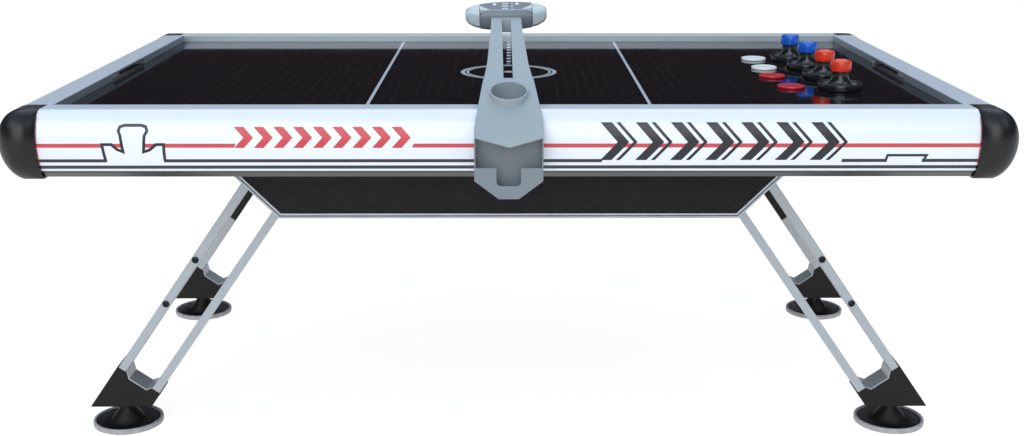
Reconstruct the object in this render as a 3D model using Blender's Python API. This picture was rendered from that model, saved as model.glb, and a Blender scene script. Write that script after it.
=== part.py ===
"""Air hockey table with splayed legs, a blower under the field and a rail-mounted scoring arm.

Units are metres, +Z is up and the floor is z = 0.  +X runs along the table and -Y is the side that
carries the scorer.  The origin is the centre of the whole table's footprint, so the playing field's
own centre lies a little behind it (TABLE_Y), by half of what the scorer adds to the front.
"""
import math

import bmesh
import bpy
from mathutils import Matrix, Vector

# ---- driving dimensions -------------------------------------------------------------------------
RAIL_TOP = 0.813            # floor to the top of the rails
FIELD_L = 1.958             # playing surface, end wall to end wall
FIELD_W = 1.200             # playing surface, side wall to side wall
WALL_H = 0.020              # playing wall above the field
GAP = 0.0003                # running gap between pieces that touch

FIELD_T = 0.006             # thickness of the drilled field board
FIELD_LEDGE = 0.012         # how far the field board runs under the playing walls
WALL_T = 0.0102             # thickness of the aluminium playing wall
GOAL_HALF = 0.148           # half the width of a goal slot
GOAL_H = 0.014              # height of a goal slot

RAIL_FLAT = 0.052           # flat top of the rail, measured from the playing wall
RAIL_BULGE = 0.096          # widest point of the rail
BULGE_DROP = 0.066          # how far below the rail top it is widest
LOWER_A = 0.058             # half axes of the ellipse that the lower half of the face follows
LOWER_B = 0.082
RAIL_DEPTH = 0.146          # height of the rail's face
BOARD = 0.012               # thickness of the rail's boards
LIP = 0.0012                # thin edge of the rail's top board over the playing wall
CAP_PROUD = 0.007           # how far a corner cap stands out from the rails
CAP_SEAM = 0.011            # the cap's seam, past the end of the field
CAP_RADIUS = 0.052          # inner radius of the cap's corner, seen from above
CAP_WALL = 0.004

CHAMBER_BOTTOM = 0.690      # underside of the air chamber
CHAMBER_WALL = 0.015

CABINET_BOTTOM = 0.525      # lowest edge of the cabinet
CABINET_HALF = 0.528        # half the cabinet's length along that edge; its ends lean out at 45 degrees
CABINET_FACE = 0.4700       # front face of the cabinet, from the table's centre line
CABINET_IN = 0.4503         # back face of its front panel
TRIM_W = 0.012

LEG_Y = 0.415               # centre plane of each leg
LEG_DEPTH = 0.070           # size of a leg tube across the table
LEG_TUBE = 0.020            # width of a leg tube in the leg's own plane
LEG_SPACING = 0.094         # distance between the two tubes of a leg
LEG_LEAN = math.radians(35) # lean of the legs from the vertical
LEG_END = (0.9218, 0.1473)  # lower end of the outer tube: distance from the table's middle, height
TUBE_WALL = 0.0025
FOOT_X = 0.925
FOOT_R = 0.0826
BRACKET_BOTTOM = 0.0525

ARM_ANGLE = math.radians(20)
ARM_TIP = (-0.307, 0.9665)  # top of the scoring arm at the head: y, z
BIN_FRONT = 0.1410          # front of the scorer, measured from the playing wall
BIN_HALF = 0.0717           # half the width of the scorer's bin
BIN_WALL = 0.003
CUP_R = 0.0408
PUCK_R = 0.0330
PUCK_H = 0.006
MALLETS_AT = ((0.789, -0.280), (0.789, -0.110), (0.782, 0.053), (0.767, 0.204))
PUCKS_AT = ((0.678, -0.257), (0.664, -0.089), (0.670, 0.054), (0.672, 0.221))

HALF_L = FIELD_L / 2
HALF_W = FIELD_W / 2
FIELD_TOP = RAIL_TOP - WALL_H
CABINET_TOP = CHAMBER_BOTTOM - GAP
REAR_REACH = HALF_W + RAIL_BULGE + CAP_PROUD
FRONT_REACH = HALF_W + BIN_FRONT
TABLE_Y = (FRONT_REACH - REAR_REACH) / 2


# ---- scene and materials ------------------------------------------------------------------------
def clear_scene():
    for obj in list(bpy.data.objects):
        bpy.data.objects.remove(obj, do_unlink=True)


def material(name, color, roughness, metallic=0.0):
    mat = bpy.data.materials.new(name)
    mat.use_nodes = True
    shader = mat.node_tree.nodes["Principled BSDF"]
    shader.inputs["Base Color"].default_value = (*color, 1.0)
    shader.inputs["Roughness"].default_value = roughness
    shader.inputs["Metallic"].default_value = metallic
    mat.diffuse_color = (*color, 1.0)
    return mat


clear_scene()
WHITE = material("white_laminate", (0.86, 0.88, 0.92), 0.25)
BLACK_CAP = material("black_abs", (0.02, 0.02, 0.022), 0.35)
FIELD_BLACK = material("gloss_black_field", (0.008, 0.008, 0.009), 0.08)
ALUMINIUM = material("satin_aluminium", (0.58, 0.62, 0.65), 0.35, 1.0)
BOARD_BROWN = material("raw_board", (0.35, 0.24, 0.15), 0.8)
PANEL_BLACK = material("black_board", (0.02, 0.02, 0.022), 0.5)
STEEL_BLACK = material("black_steel", (0.015, 0.015, 0.017), 0.45)
SCORER_GREY = material("grey_abs", (0.36, 0.40, 0.43), 0.45)
SCORER_DARK = material("dark_grey_abs", (0.22, 0.22, 0.25), 0.4)
WINDOW_PALE = material("pale_lens", (0.66, 0.72, 0.76), 0.2)
GREY_PLASTIC = material("fan_plastic", (0.08, 0.08, 0.09), 0.5)
RUBBER = material("foot_black", (0.02, 0.02, 0.02), 0.5)
PUCK_WHITE = material("puck_white", (0.85, 0.86, 0.88), 0.3)
PUCK_RED = material("puck_red", (0.62, 0.03, 0.05), 0.3)
MALLET_BLACK = material("mallet_black", (0.02, 0.02, 0.022), 0.35)

TABLE = bpy.data.objects.new("table_centre", None)
TABLE.location = (0.0, TABLE_Y, 0.0)
bpy.context.collection.objects.link(TABLE)


# ---- modelling helpers --------------------------------------------------------------------------
def add_object(name, mesh, mat, location=(0, 0, 0)):
    if not mesh.materials:
        mesh.materials.append(mat)
    obj = bpy.data.objects.new(name, mesh)
    bpy.context.collection.objects.link(obj)
    obj.parent = TABLE
    obj.location = location
    return obj


def mesh_from(bm, name, smooth=False):
    bmesh.ops.recalc_face_normals(bm, faces=bm.faces)
    mesh = bpy.data.meshes.new(name)
    bm.to_mesh(mesh)
    bm.free()
    if smooth:
        mesh.shade_smooth()
        mesh.set_sharp_from_angle(angle=math.radians(35))
    return mesh


def place(axis, p, q, depth):
    """A point of an outline: (p, q) in the outline's plane, depth along the axis it is extruded on."""
    return {"X": (depth, p, q), "Y": (p, depth, q), "Z": (p, q, depth)}[axis]


def prism_mesh(name, outline, axis, low, high):
    bm = bmesh.new()
    face = bm.faces.new([bm.verts.new(place(axis, p, q, low)) for p, q in outline])
    result = bmesh.ops.extrude_face_region(bm, geom=[face])
    moved = [item for item in result["geom"] if isinstance(item, bmesh.types.BMVert)]
    bmesh.ops.translate(bm, verts=moved, vec=Vector(place(axis, 0, 0, high - low)))
    return mesh_from(bm, name)


def prism(name, outline, axis, low, high, mat, location=(0, 0, 0)):
    return add_object(name, prism_mesh(name, outline, axis, low, high), mat, location)


def rectangle(p0, p1, q0, q1):
    return [(p0, q0), (p1, q0), (p1, q1), (p0, q1)]


def block(name, low, high, mat):
    return prism(name, rectangle(low[0], high[0], low[1], high[1]), "Z", low[2], high[2], mat)


def circle(radius, count, centre=(0.0, 0.0)):
    turns = [2 * math.pi * k / count for k in range(count)]
    return [(centre[0] + radius * math.cos(t), centre[1] + radius * math.sin(t)) for t in turns]


def turned_mesh(name, profile, steps):
    """Spins (radius, height) points about Z; the profile may start and end on the axis."""
    bm = bmesh.new()
    verts = [bm.verts.new((radius, 0.0, height)) for radius, height in profile]
    edges = [bm.edges.new(pair) for pair in zip(verts, verts[1:])]
    if profile[0][0] > 0:
        edges.append(bm.edges.new((verts[-1], verts[0])))
    bmesh.ops.spin(bm, geom=verts + edges, cent=(0, 0, 0), axis=(0, 0, 1),
                   angle=2 * math.pi, steps=steps, use_merge=True)
    bmesh.ops.remove_doubles(bm, verts=bm.verts, dist=0.00005)
    return mesh_from(bm, name, smooth=True)


def cutter(name, mesh, location=(0, 0, 0)):
    obj = add_object(name, mesh, STEEL_BLACK, location)
    obj.hide_render = True
    obj.display_type = "WIRE"
    return obj


def boolean(target, tool, operation="DIFFERENCE"):
    modifier = target.modifiers.new(operation.title(), "BOOLEAN")
    modifier.operation = operation
    modifier.object = tool
    modifier.solver = "EXACT"


def round_edges(obj, width, segments=1):
    modifier = obj.modifiers.new("Rounded edges", "BEVEL")
    modifier.width = width
    modifier.segments = segments
    modifier.limit_method = "ANGLE"
    modifier.angle_limit = math.radians(40)


def arc(centre, radius_p, radius_q, start, end, count):
    """Points of an ellipse from one angle to another, both included, in degrees."""
    turns = [math.radians(start + (end - start) * k / count) for k in range(count + 1)]
    return [(centre[0] + radius_p * math.cos(t), centre[1] + radius_q * math.sin(t)) for t in turns]


# ---- playing field and air chamber --------------------------------------------------------------
def build_field():
    ledge_x = HALF_L + FIELD_LEDGE
    ledge_y = HALF_W + FIELD_LEDGE
    block("playfield", (-ledge_x, -ledge_y, FIELD_TOP - FIELD_T), (ledge_x, ledge_y, FIELD_TOP), FIELD_BLACK)

    side_x = HALF_L + FIELD_LEDGE - 0.002
    side_y = HALF_W + FIELD_LEDGE - 0.002
    top = FIELD_TOP - FIELD_T - GAP
    chamber = block("air_chamber", (-side_x, -side_y, CHAMBER_BOTTOM), (side_x, side_y, top), BOARD_BROWN)
    inside = rectangle(-side_x + CHAMBER_WALL, side_x - CHAMBER_WALL,
                       -side_y + CHAMBER_WALL, side_y - CHAMBER_WALL)
    hollow = prism_mesh("cut_chamber", inside, "Z", CHAMBER_BOTTOM + BOARD, top + 0.01)
    boolean(chamber, cutter("cut_chamber", hollow))
    outlet = prism_mesh("cut_outlet", circle(0.055, 24), "Z", CHAMBER_BOTTOM - 0.01, CHAMBER_BOTTOM + 0.02)
    boolean(chamber, cutter("cut_outlet", outlet))


def goal_wall_outline():
    """End wall seen from the end: a bar with a slot left open along the field."""
    low = FIELD_TOP + GAP
    high = RAIL_TOP - LIP - GAP
    corner = 0.008
    slot_top = low + GOAL_H
    left = arc((-GOAL_HALF + corner, slot_top - corner), corner, corner, 180, 90, 3)
    right = arc((GOAL_HALF - corner, slot_top - corner), corner, corner, 90, 0, 3)
    end = HALF_W - GAP
    return [(-end, low), (-GOAL_HALF, low)] + left + right + [(GOAL_HALF, low), (end, low), (end, high), (-end, high)]


def build_walls():
    low = FIELD_TOP + GAP
    high = RAIL_TOP - LIP - GAP
    reach = HALF_L + WALL_T
    for name, side in (("front", -1), ("rear", 1)):
        ys = sorted((side * HALF_W, side * (HALF_W + WALL_T)))
        block("inner_rail_" + name, (-reach, ys[0], low), (reach, ys[1], high), ALUMINIUM)
    for name, side in (("left", -1), ("right", 1)):
        xs = sorted((side * HALF_L, side * (HALF_L + WALL_T)))
        prism("inner_rail_" + name, goal_wall_outline(), "X", xs[0], xs[1], ALUMINIUM)


# ---- rails and corner caps ----------------------------------------------------------------------
def rail_face(grow=0.0):
    """The rail's rounded face as (distance from the playing wall, height from the rail top)."""
    upper = arc((RAIL_FLAT, -BULGE_DROP), RAIL_BULGE - RAIL_FLAT + grow, BULGE_DROP, 90, 0, 6)
    lower = arc((RAIL_BULGE - LOWER_A, -BULGE_DROP), LOWER_A + grow, LOWER_B + grow, 0, -65, 6)
    return upper + lower[1:]


def rail_section():
    """Closed section of a rail: a hollow board profile, open towards the field."""
    inner_upper = arc((RAIL_FLAT, -BULGE_DROP), RAIL_BULGE - RAIL_FLAT - BOARD, BULGE_DROP - BOARD, 0, 90, 5)
    inner_lower = arc((RAIL_BULGE - LOWER_A, -BULGE_DROP), LOWER_A - BOARD, LOWER_B - BOARD, -65, 0, 5)
    outer = [(0.0, 0.0)] + rail_face() + [(0.056, -RAIL_DEPTH), (0.014, -RAIL_DEPTH)]
    inner = [(0.014, -RAIL_DEPTH + BOARD), (0.050, -RAIL_DEPTH + BOARD)] + inner_lower + inner_upper[1:]
    ledge = WALL_T + GAP
    return outer + inner + [(ledge, -BOARD), (ledge, -LIP), (0.0, -LIP)]


def build_rails():
    seam = HALF_L + CAP_SEAM - GAP
    end = HALF_W - GAP
    for name, side in (("front", -1), ("rear", 1)):
        outline = [(side * (HALF_W + u), RAIL_TOP + w) for u, w in rail_section()]
        prism("apron_" + name, outline, "X", -seam, seam, WHITE)
    for name, side in (("left", -1), ("right", 1)):
        outline = [(side * (HALF_L + u), RAIL_TOP + w) for u, w in rail_section()]
        rail = prism("apron_" + name, outline, "Y", -end, end, WHITE)
        window = [(y, RAIL_TOP + w) for y, w in rounded_window(0.115, -0.122, -0.052, 0.014)]
        xs = sorted((side * (HALF_L + 0.045), side * (HALF_L + 0.130)))
        boolean(rail, cutter("cut_window_" + name, prism_mesh("cut_window", window, "X", xs[0], xs[1])))


def rounded_window(half, low, high, radius):
    corners = ((half - radius, high - radius, 0), (-half + radius, high - radius, 90),
               (-half + radius, low + radius, 180), (half - radius, low + radius, 270))
    points = []
    for p, q, start in corners:
        points += arc((p, q), radius, radius, start, start + 90, 3)
    return points


def cap_row(offset, side_x, side_y, height):
    """One level of a corner cap: along the long rail, round the corner, along the end rail."""
    corner_x = HALF_L + max(offset, CAP_SEAM)
    corner_y = HALF_W + offset
    radius = max(offset - CAP_RADIUS, 0.0)
    turns = [math.radians(-90 + 90 * k / 6) for k in range(7)]
    row = [(HALF_L + CAP_SEAM, corner_y)]
    for turn in turns:
        x = corner_x - radius + radius * math.cos(turn)
        y = corner_y - radius - radius * math.sin(turn)
        row.append((x, y))
    row.append((corner_x, HALF_W))
    return [(side_x * x, side_y * y, RAIL_TOP + height) for x, y in row]


def build_cap(name, side_x, side_y):
    levels = [(CAP_SEAM, 0.0)] + rail_face(CAP_PROUD)
    levels += [(0.060, -RAIL_DEPTH - CAP_WALL), (0.016, -RAIL_DEPTH - CAP_WALL)]
    bm = bmesh.new()
    rows = [[bm.verts.new(point) for point in cap_row(u, side_x, side_y, w)] for u, w in levels]
    for upper, lower in zip(rows, rows[1:]):
        for k in range(len(upper) - 1):
            bm.faces.new((upper[k], upper[k + 1], lower[k + 1], lower[k]))
    bmesh.ops.remove_doubles(bm, verts=bm.verts, dist=0.00005)
    bmesh.ops.dissolve_degenerate(bm, edges=bm.edges, dist=0.00001)
    if side_x * side_y < 0:
        bmesh.ops.reverse_faces(bm, faces=bm.faces)
    mesh = bpy.data.meshes.new(name)
    bm.to_mesh(mesh)
    bm.free()
    cap = add_object(name, mesh, BLACK_CAP)
    shell = cap.modifiers.new("Wall", "SOLIDIFY")
    shell.thickness = CAP_WALL
    shell.offset = -1.0
    shell.use_even_offset = True


def build_caps():
    for name_y, side_y in (("front", -1), ("rear", 1)):
        for name_x, side_x in (("left", -1), ("right", 1)):
            build_cap("corner_cap_" + name_y + "_" + name_x, side_x, side_y)


def build_goal_boxes():
    """Pocket behind each goal slot: the puck drops in and is taken out through the rail's window."""
    outer = [(0.0135, -0.0225), (0.0135, -0.128), (0.054, -0.130), (0.066, -0.110),
             (0.073, -0.085), (0.073, -0.045), (0.060, -0.0225)]
    inner = [(0.0165, 0.010), (0.0165, -0.125), (0.053, -0.127), (0.061, -0.112), (0.100, -0.108), (0.100, 0.010)]
    half = GOAL_HALF + 0.008
    for name, side in (("left", -1), ("right", 1)):
        outline = [(side * (HALF_L + u), RAIL_TOP + w) for u, w in outer]
        pocket = prism("goal_box_" + name, outline, "Y", -half, half, PANEL_BLACK)
        hollow = [(side * (HALF_L + u), RAIL_TOP + w) for u, w in inner]
        tool = prism_mesh("cut_goal", hollow, "Y", -half + BIN_WALL, half - BIN_WALL)
        boolean(pocket, cutter("cut_goal_" + name, tool))


# ---- cabinet ------------------------------------------------------------------------------------
def cabinet_half(height):
    """Half length of the cabinet at a height: its ends lean out at 45 degrees."""
    return CABINET_HALF + height - CABINET_BOTTOM


def build_cabinet():
    top = cabinet_half(CABINET_TOP)
    slant = TRIM_W * math.sqrt(2)
    foot = TRIM_W * math.tan(math.radians(22.5))
    low = CABINET_BOTTOM + TRIM_W
    trim = [(-top, CABINET_TOP), (-CABINET_HALF, CABINET_BOTTOM), (CABINET_HALF, CABINET_BOTTOM),
            (top, CABINET_TOP), (top - slant, CABINET_TOP), (CABINET_HALF - foot, low),
            (-CABINET_HALF + foot, low), (-top + slant, CABINET_TOP)]
    edge = GAP * 1.5
    panel = [(-top + slant + edge, CABINET_TOP), (-CABINET_HALF + foot + edge, low + edge),
             (CABINET_HALF - foot - edge, low + edge), (top - slant - edge, CABINET_TOP)]
    for name, side in (("front", -1), ("rear", 1)):
        ys = sorted((side * CABINET_IN, side * CABINET_FACE))
        prism("cabinet_trim_" + name, trim, "Y", ys[0], ys[1], ALUMINIUM)
        ys = sorted((side * CABINET_IN, side * (CABINET_FACE - 0.0025)))
        board = prism("cabinet_panel_" + name, panel, "Y", ys[0], ys[1], PANEL_BLACK)
        if name == "rear":
            cut_rear_panel(board)
    inset = 0.017
    half = CABINET_IN - GAP
    floor = block("cabinet_floor", (-CABINET_HALF + inset + GAP, -half, CABINET_BOTTOM + 0.001),
                  (CABINET_HALF - inset - GAP, half, CABINET_BOTTOM + BOARD), PANEL_BLACK)
    intake = prism_mesh("cut_intake", circle(0.070, 24), "Z", CABINET_BOTTOM - 0.01, CABINET_BOTTOM + 0.03)
    boolean(floor, cutter("cut_intake", intake))


def cut_rear_panel(board):
    for name, x, half_x, half_z in (("cut_inlet", INLET_X, 0.0145, 0.0245), ("cut_switch", SWITCH_X, 0.0120, 0.0170)):
        hole = rectangle(x - half_x, x + half_x, POWER_Z - half_z, POWER_Z + half_z)
        boolean(board, cutter(name, prism_mesh(name, hole, "Y", CABINET_IN - 0.02, CABINET_FACE + 0.02)))


INLET_X = -0.300
SWITCH_X = -0.250
POWER_Z = 0.605
SWITCH_PIVOT_Y = 0.460


def build_power():
    """Mains inlet with its pin recess, and the rocker that turns on the pivot between its two halves."""
    inlet_outline = rectangle(INLET_X - 0.0142, INLET_X + 0.0142, POWER_Z - 0.0242, POWER_Z + 0.0242)
    inlet = prism("power_inlet", inlet_outline, "Y", 0.4440, CABINET_FACE - 0.0005, GREY_PLASTIC)
    recess = rectangle(INLET_X - 0.0120, INLET_X + 0.0120, POWER_Z - 0.0080, POWER_Z + 0.0080)
    boolean(inlet, cutter("cut_recess", prism_mesh("cut_recess", recess, "Y", 0.4520, 0.4900)))
    rocker = [(0.4520, -0.0080), (0.4520, 0.0080), (0.4690, 0.0145), (0.4665, 0.0), (0.4715, -0.0145)]
    outline = [(y - SWITCH_PIVOT_Y, z) for y, z in rocker]
    place_at = (SWITCH_X, SWITCH_PIVOT_Y, POWER_Z)
    prism("power_switch", outline, "X", -0.0105, 0.0105, GREY_PLASTIC, place_at)


# ---- legs ---------------------------------------------------------------------------------------
def leg_point(side, along, across):
    """A point in a leg's plane: along is up the leg from the tubes' lower ends, across is inwards."""
    lean_sin = math.sin(LEG_LEAN)
    lean_cos = math.cos(LEG_LEAN)
    x = LEG_END[0] - lean_sin * along - lean_cos * across
    z = LEG_END[1] + lean_cos * along - lean_sin * across
    return (side * x, z)


def leg_top(across):
    """How far up the leg a line at this distance across reaches the cabinet's leaning end."""
    x, z = leg_point(1, 0.0, across)
    rise = math.sin(LEG_LEAN) + math.cos(LEG_LEAN)
    return (x - cabinet_half(z) - GAP * 2) / rise


def leg_at_floor(height, across):
    """How far along the leg a line at this distance across is at a given height."""
    return (height - leg_point(1, 0.0, across)[1]) / math.cos(LEG_LEAN)


def tube_outline(side, centre, half, spare=0.0):
    low, high = centre - half, centre + half
    return [leg_point(side, -spare, low), leg_point(side, -spare, high),
            leg_point(side, leg_top(high) + spare, high), leg_point(side, leg_top(low) + spare, low)]


def build_tube(name, side, y, centre):
    half = LEG_DEPTH / 2
    tube = prism(name, tube_outline(side, centre, LEG_TUBE / 2), "Y", -half, half, ALUMINIUM, (0, y, 0))
    bore = tube_outline(side, centre, LEG_TUBE / 2 - TUBE_WALL, 0.02)
    tool = prism_mesh("bore_" + name, bore, "Y", -half + TUBE_WALL, half - TUBE_WALL)
    boolean(tube, cutter("bore_" + name, tool, (0, y, 0)))
    return tube


def crossbar_outline(side):
    """Bent seat plate between the tubes: it follows the notch in the bracket's top edge."""
    start = LEG_TUBE / 2 + 0.0005
    weld = LEG_SPACING - LEG_TUBE / 2
    corners = ((0.0005, start), (-0.0142, 0.0250), (-0.0142, 0.0745), (0.0002, weld - 0.0002), (0.0002, weld + 0.0010),
               (0.0052, weld + 0.0010), (-0.0108, 0.0732), (-0.0108, 0.0262), (0.0040, start))
    return [leg_point(side, along, across) for along, across in corners]


FLANGE_T = 0.0027           # the bracket's flanges lie along the outsides of both tubes
FLANGE_UP = 0.004
NOTCH = -0.0145


def bracket_outline(side):
    """The foot bracket seen from the front: a flat base, a notched top edge and two flanges."""
    outer = -LEG_TUBE / 2 - GAP - FLANGE_T
    inner = LEG_SPACING + LEG_TUBE / 2 + GAP + FLANGE_T
    tube_in = LEG_TUBE / 2
    corners = ((leg_at_floor(BRACKET_BOTTOM, outer), outer), (FLANGE_UP, outer), (FLANGE_UP, outer + FLANGE_T),
               (-GAP, outer + FLANGE_T), (-GAP, tube_in), (NOTCH - GAP, tube_in + 0.0145),
               (NOTCH - GAP, LEG_SPACING - tube_in - 0.0095), (-GAP, LEG_SPACING - tube_in), (-GAP, inner - FLANGE_T),
               (FLANGE_UP, inner - FLANGE_T), (FLANGE_UP, inner), (leg_at_floor(BRACKET_BOTTOM, inner), inner))
    return [leg_point(side, along, across) for along, across in corners]


def build_bracket(name, side, y):
    half = LEG_DEPTH / 2
    bracket = prism(name, bracket_outline(side), "Y", -half, half, STEEL_BLACK, (0, y, 0))
    outer = -LEG_TUBE / 2
    inner = LEG_SPACING + LEG_TUBE / 2
    floor = BRACKET_BOTTOM + 0.004
    hollow = [leg_point(side, leg_at_floor(floor, outer), outer), leg_point(side, 0.02, outer),
              leg_point(side, 0.02, inner), leg_point(side, leg_at_floor(floor, inner), inner)]
    tool = prism_mesh("hollow_" + name, hollow, "Y", -half + 0.003, half - 0.003)
    boolean(bracket, cutter("hollow_" + name, tool, (0, y, 0)))


def foot_mesh():
    rim = FOOT_R
    top = BRACKET_BOTTOM - GAP
    profile = [(0.0, 0.0), (rim - 0.001, 0.0), (rim, 0.002), (rim, 0.0105), (rim - 0.0025, 0.013),
               (rim - 0.0065, 0.013), (rim - 0.0095, 0.0075), (0.050, 0.0080), (0.042, 0.0115), (0.032, 0.0230),
               (0.024, 0.0330), (0.0185, 0.0430), (0.0175, top), (0.0, top)]
    return turned_mesh("foot", profile, 24)


def build_legs():
    foot = foot_mesh()
    depth = LEG_DEPTH / 2
    for name_x, side in (("left", -1), ("right", 1)):
        for name_y, y in (("front", -LEG_Y), ("rear", LEG_Y)):
            tag = name_y + "_" + name_x
            build_tube("leg_outer_tube_" + tag, side, y, 0.0)
            inner = build_tube("leg_inner_tube_" + tag, side, y, LEG_SPACING)
            bar = prism_mesh("bar_" + tag, crossbar_outline(side), "Y", -depth + 0.0035, depth - 0.0035)
            boolean(inner, cutter("bar_" + tag, bar, (0, y, 0)), "UNION")
            build_bracket("foot_bracket_" + tag, side, y)
            add_object("foot_" + tag, foot, RUBBER, (side * FOOT_X, y, 0.0))


STRAP_LOW = 0.190           # lower end of a strap, up the leg
STRAP_T = 0.012


def build_leg_mounts():
    """Leaning end plate of the cabinet with the two straps that carry the outer leg tubes."""
    inset = 0.017
    top = cabinet_half(CABINET_TOP)
    half = CABINET_IN - GAP
    face = LEG_Y - LEG_DEPTH / 2 - GAP
    for name, side in (("left", -1), ("right", 1)):
        plate = [(side * CABINET_HALF, CABINET_BOTTOM + 0.0005), (side * top, CABINET_TOP),
                 (side * (top - inset), CABINET_TOP), (side * (CABINET_HALF - inset), CABINET_BOTTOM + 0.0005)]
        mount = prism("leg_mount_" + name, plate, "Y", -half, half, STEEL_BLACK)
        width = LEG_TUBE / 2
        strap = [leg_point(side, STRAP_LOW, -width), leg_point(side, STRAP_LOW, width),
                 leg_point(side, leg_top(width) + 0.010, width), leg_point(side, leg_top(-width) + 0.010, -width)]
        for name_y, low, high in (("front", -face, -face + STRAP_T), ("rear", face - STRAP_T, face)):
            key = "strap_" + name_y + "_" + name
            boolean(mount, cutter(key, prism_mesh(key, strap, "Y", low, high)), "UNION")


# ---- blower -------------------------------------------------------------------------------------
def fan_outline(blades, hub, tip, thickness):
    """Plan of a paddle wheel: straight blades leaning back from a round hub."""
    points = []
    step = 2 * math.pi / blades
    lean = math.radians(16)
    for k in range(blades):
        turn = k * step
        root = math.asin(thickness / 2 / hub)
        edge = math.asin(thickness / 2 / tip)
        points.append((hub * math.cos(turn - root), hub * math.sin(turn - root)))
        points.append((tip * math.cos(turn + lean - edge), tip * math.sin(turn + lean - edge)))
        points.append((tip * math.cos(turn + lean + edge), tip * math.sin(turn + lean + edge)))
        points.append((hub * math.cos(turn + root), hub * math.sin(turn + root)))
        middle = turn + step / 2
        points.append((hub * math.cos(middle), hub * math.sin(middle)))
    return points


def spider_outline(reach, half):
    """Plan of the three arms that hang the motor in its housing."""
    points = []
    for k in range(3):
        turn = Matrix.Rotation(math.radians(120 * k + 30), 2)
        for p, q in ((half / math.tan(math.radians(60)), -half), (reach, -half), (reach, half)):
            points.append(tuple(turn @ Vector((p, q))))
    return points


def build_blower():
    top = CHAMBER_BOTTOM - GAP
    housing = [(0.105, 0.565), (0.105, top), (0.062, top), (0.062, top - 0.003),
               (0.102, top - 0.003), (0.102, 0.568), (0.078, 0.568), (0.078, 0.565)]
    add_object("fan_housing", turned_mesh("fan_housing", housing, 28), GREY_PLASTIC)

    wheel_low = 0.572
    wheel_high = 0.622
    wheel = fan_outline(9, 0.022, 0.092, 0.003)
    impeller = prism("fan_impeller", wheel, "Z", -0.025, 0.025, GREY_PLASTIC, (0, 0, (wheel_low + wheel_high) / 2))
    spindle = prism_mesh("cut_spindle", circle(0.004, 12), "Z", 0.020, 0.040)
    boolean(impeller, cutter("cut_spindle", spindle, (0, 0, (wheel_low + wheel_high) / 2)), "UNION")

    motor_profile = [(0.0, 0.6275), (0.028, 0.6275), (0.032, 0.6315), (0.032, top - 0.0075), (0.0, top - 0.0075)]
    motor = add_object("fan_motor", turned_mesh("fan_motor", motor_profile, 20), STEEL_BLACK)
    bearing = prism_mesh("cut_bearing", circle(0.0047, 12), "Z", 0.600, 0.645)
    boolean(motor, cutter("cut_bearing", bearing))
    spider = prism_mesh("cut_spider", spider_outline(0.1012, 0.006), "Z", top - 0.0110, top - 0.0040)
    boolean(motor, cutter("cut_spider", spider), "UNION")


# ---- scorer -------------------------------------------------------------------------------------
ARM_THICK = 0.030
HOOD_DROP = 0.020           # how much lower the hood's lip is in the middle
CUP_RIM = (-0.640, 0.8495)  # centre of the cup's rim: y, z
ARM_WIDTHS = ((-0.307, 0.0345), (-0.372, 0.0366), (-0.450, 0.0408), (-0.515, 0.0450), (-0.580, 0.0520),
              (-0.630, 0.0588), (-0.662, 0.0640), (-0.690, 0.0694), (-0.706, 0.0713), (-0.738, 0.0717))
SCORER_YAW = math.radians(1.0)      # the clamped-on scorer doesn't stand quite square to the rail
HEAD_ROLL = math.radians(-1.6)
SCORER_TURN = (Matrix.Translation((0.0, CUP_RIM[0], 0.0)) @ Matrix.Rotation(SCORER_YAW, 4, "Z")
               @ Matrix.Translation((0.0, -CUP_RIM[0], 0.0)))


def arm_half_width(y):
    """Half width of the arm: slender at the head, flaring towards the hood's lip."""
    for (y0, w0), (y1, w1) in zip(ARM_WIDTHS, ARM_WIDTHS[1:]):
        if y >= y1:
            return w0 + (w1 - w0) * (y0 - y) / (y0 - y1)
    return ARM_WIDTHS[-1][1]


def arm_stations():
    """Pairs of a top and a bottom point, (y, z) each, from the head down to the hood's lip."""
    sine, cosine = math.sin(ARM_ANGLE), math.cos(ARM_ANGLE)
    stations = []
    for y in (ARM_TIP[0], -0.372, -0.450, -0.515, -0.572):
        z = ARM_TIP[1] + (y - ARM_TIP[0]) * sine / cosine
        stations.append(((y, z), (y + ARM_THICK * sine, z - ARM_THICK * cosine)))
    sole = RAIL_TOP + GAP
    stations += [((-0.590, 0.8668), (-0.5840, 0.8380)), ((-0.602, 0.8622), (-0.6005, sole)),
                 ((-0.622, 0.8515), (-0.6250, sole)), ((-0.648, 0.8348), (-0.6520, sole)),
                 ((-0.662, 0.8250), (-0.6650, 0.8120)), ((-0.677, 0.8141), (-0.6790, 0.8030)),
                 ((-0.693, 0.8028), (-0.6930, 0.7900)), ((-0.708, 0.7912), (-0.7060, 0.7878)),
                 ((-0.723, 0.7795), (-0.7212, 0.7771)), ((-0.738, 0.7680), (-0.7362, 0.7656))]
    return stations


def tilted_round(name, radius, floor_z, above):
    """A round plug square to the arm's slope, cut off level at floor_z."""
    mesh = prism_mesh(name, circle(radius, 32), "Z", -0.080, above)
    mesh.transform(SCORER_TURN @ Matrix.Translation((0.0, *CUP_RIM)) @ Matrix.Rotation(ARM_ANGLE, 4, "X"))
    bm = bmesh.new()
    bm.from_mesh(mesh)
    geometry = bm.verts[:] + bm.edges[:] + bm.faces[:]
    cut = bmesh.ops.bisect_plane(bm, geom=geometry, plane_co=(0, 0, floor_z), plane_no=(0, 0, 1), clear_inner=True)
    rim = [item for item in cut["geom_cut"] if isinstance(item, bmesh.types.BMEdge)]
    bmesh.ops.contextual_create(bm, geom=rim)
    return mesh_from(bm, name)


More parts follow.
